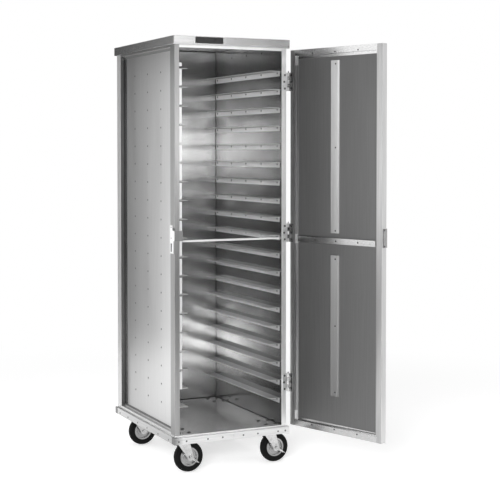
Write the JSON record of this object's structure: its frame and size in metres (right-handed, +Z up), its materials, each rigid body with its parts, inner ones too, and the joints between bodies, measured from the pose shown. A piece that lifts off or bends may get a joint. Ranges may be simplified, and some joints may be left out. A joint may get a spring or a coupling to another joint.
{
  "type": "enclosed sheet pan rack",
  "caption": "Tall enclosed sheet pan rack: riveted aluminium cabinet with angle ledges inside, a hinged latching door and a base on swivel casters, the front ones with brake levers.",
  "frame": {"origin": "on the floor under the middle of the top cap", "axes": "+Z up, -Y towards the door opening at the front, +X towards the hinge side"},
  "size_m": [0.7188, 1.1712, 1.778],
  "materials": {
    "sheet_metal": "mill-finish aluminium sheet with a soft satin sheen and faint rolling lines",
    "ledge_metal": "bright extruded aluminium",
    "door_metal": "mill-finish aluminium sheet with a soft satin sheen",
    "hardware_metal": "plated steel hinge and latch pieces",
    "caster_metal": "zinc-plated pressed steel",
    "wheel_metal": "light grey wheel centre",
    "tyre": "black rubber with a dull surface"
  },
  "bodies": {
    "cabinet": {"top_cap": "sheet_metal", "floor_deck": "sheet_metal", "base_front_rail": "sheet_metal", "base_rear_rail": "sheet_metal", "base_left_rail": "sheet_metal", "base_right_rail": "sheet_metal", "caster_channels": "sheet_metal", "post_front_left": "sheet_metal", "post_front_right": "sheet_metal", "post_rear_left": "sheet_metal", "post_rear_right": "sheet_metal", "left_side_panel": "sheet_metal", "right_side_panel": "sheet_metal", "back_panel": "sheet_metal", "left_top_rail": "sheet_metal", "right_top_rail": "sheet_metal", "left_bottom_rail": "sheet_metal", "right_bottom_rail": "sheet_metal", "left_ledges": "ledge_metal", "right_ledges": "ledge_metal", "front_header": "sheet_metal", "mid_tie_bar": "ledge_metal", "latch_side_guide_strip": "ledge_metal", "latch_strike": "hardware_metal", "hinge_post_leaves": "hardware_metal", "caster_plates": "caster_metal", "caster_bolts": "caster_metal", "caster_kingpins": "caster_metal"},
    "door": {"door_panel": "door_metal", "door_hinge_stile": "door_metal", "door_latch_stile": "door_metal", "door_top_rail": "door_metal", "door_mid_rail": "door_metal", "door_bottom_rail": "door_metal", "door_upper_stiffener": "door_metal", "door_lower_stiffener": "door_metal", "door_corner_clips": "door_metal", "hinge_door_leaves": "hardware_metal", "hinge_pins": "hardware_metal", "latch_body": "hardware_metal", "latch_pin": "hardware_metal"},
    "handle": {"latch_handle": "hardware_metal"},
    "swivel_fl": {"caster_fork_fl": "caster_metal", "caster_axle_fl": "caster_metal"},
    "wheel_fl": {"wheel_hub_fl": "wheel_metal", "wheel_tyre_fl": "tyre"},
    "swivel_fr": {"caster_fork_fr": "caster_metal", "caster_axle_fr": "caster_metal"},
    "wheel_fr": {"wheel_hub_fr": "wheel_metal", "wheel_tyre_fr": "tyre"},
    "swivel_rl": {"caster_fork_rl": "caster_metal", "caster_axle_rl": "caster_metal"},
    "wheel_rl": {"wheel_hub_rl": "wheel_metal", "wheel_tyre_rl": "tyre"},
    "swivel_rr": {"caster_fork_rr": "caster_metal", "caster_axle_rr": "caster_metal"},
    "wheel_rr": {"wheel_hub_rr": "wheel_metal", "wheel_tyre_rr": "tyre"},
    "brake_fl": {"brake_lever_fl": "caster_metal"},
    "brake_fr": {"brake_lever_fr": "caster_metal"}
  },
  "joints": [
    {"name": "door_hinge", "type": "hinge", "parent": "cabinet", "child": "door", "pos_m": [0.2601, -0.34, 0.976], "axis": [0, 0, 1], "range_deg": [-108.3, 71.7]},
    {"name": "latch_pull", "type": "hinge", "parent": "door", "child": "handle", "pos_m": [0.45118, -0.79196, 0.976], "axis": [0, 0, -1], "range_deg": [0, 40]},
    {"name": "swivel_fl", "type": "hinge", "parent": "cabinet", "child": "swivel_fl", "pos_m": [-0.197, -0.266, 0.143], "axis": [0, 0, 1], "continuous": true},
    {"name": "wheel_fl", "type": "hinge", "parent": "swivel_fl", "child": "wheel_fl", "pos_m": [-0.164, -0.266, 0.0625], "axis": [0, 1, 0], "continuous": true},
    {"name": "swivel_fr", "type": "hinge", "parent": "cabinet", "child": "swivel_fr", "pos_m": [0.197, -0.266, 0.143], "axis": [0, 0, 1], "continuous": true},
    {"name": "wheel_fr", "type": "hinge", "parent": "swivel_fr", "child": "wheel_fr", "pos_m": [0.23, -0.266, 0.0625], "axis": [0, 1, 0], "continuous": true},
    {"name": "swivel_rl", "type": "hinge", "parent": "cabinet", "child": "swivel_rl", "pos_m": [-0.197, 0.266, 0.143], "axis": [0, 0, 1], "continuous": true},
    {"name": "wheel_rl", "type": "hinge", "parent": "swivel_rl", "child": "wheel_rl", "pos_m": [-0.164, 0.266, 0.0625], "axis": [0, 1, 0], "continuous": true},
    {"name": "swivel_rr", "type": "hinge", "parent": "cabinet", "child": "swivel_rr", "pos_m": [0.197, 0.266, 0.143], "axis": [0, 0, 1], "continuous": true},
    {"name": "wheel_rr", "type": "hinge", "parent": "swivel_rr", "child": "wheel_rr", "pos_m": [0.23, 0.266, 0.0625], "axis": [0, 1, 0], "continuous": true},
    {"name": "brake_fl", "type": "hinge", "parent": "swivel_fl", "child": "brake_fl", "pos_m": [-0.164, -0.2923, 0.0625], "axis": [0, 1, 0], "range_deg": [-25, 0]},
    {"name": "brake_fr", "type": "hinge", "parent": "swivel_fr", "child": "brake_fr", "pos_m": [0.23, -0.2923, 0.0625], "axis": [0, 1, 0], "range_deg": [-25, 0]}
  ]
}
